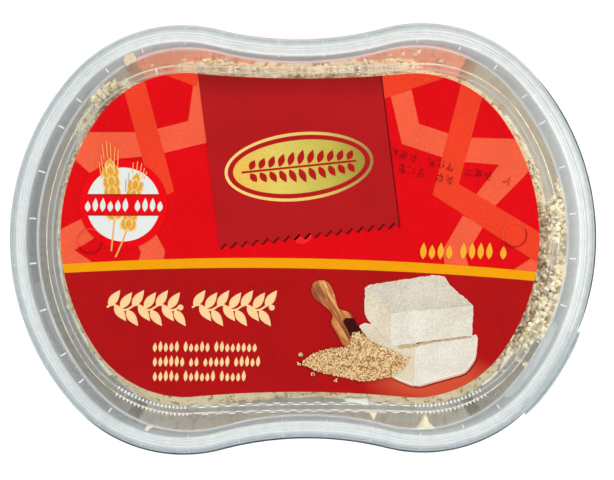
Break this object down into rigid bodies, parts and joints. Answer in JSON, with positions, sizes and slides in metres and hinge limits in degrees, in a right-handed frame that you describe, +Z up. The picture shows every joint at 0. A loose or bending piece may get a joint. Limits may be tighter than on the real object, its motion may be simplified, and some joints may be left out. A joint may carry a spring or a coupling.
{
  "type": "tub of sesame halva",
  "caption": "Clear plastic tub with a waist in each long side and a press-on lid, filled with sesame halva, with a printed plate on the lid and a label on each long wall.",
  "frame": {"origin": "middle of the base, on the surface the tub stands on", "axes": "+X along the tub's long side, +Y across it towards the back label, +Z up out of the lid"},
  "size_m": [0.1524, 0.1118, 0.043],
  "materials": {
    "tub_plastic": "clear polypropylene, slightly blue and milky",
    "lid_plastic": "clear polypropylene, slightly blue and milky",
    "halva": "dry, crumbly and fibrous sesame halva",
    "lid_print": "printed film bonded to the lid, satin",
    "side_label_back": "printed film bonded to the wall, satin",
    "side_label_front": "printed film bonded to the wall, satin"
  },
  "bodies": {
    "root": {"tub": "tub_plastic", "halva": "halva", "lid": "lid_plastic", "lid_print": "lid_print", "side_label_back": "side_label_back", "side_label_front": "side_label_front"}
  },
  "joints": []
}
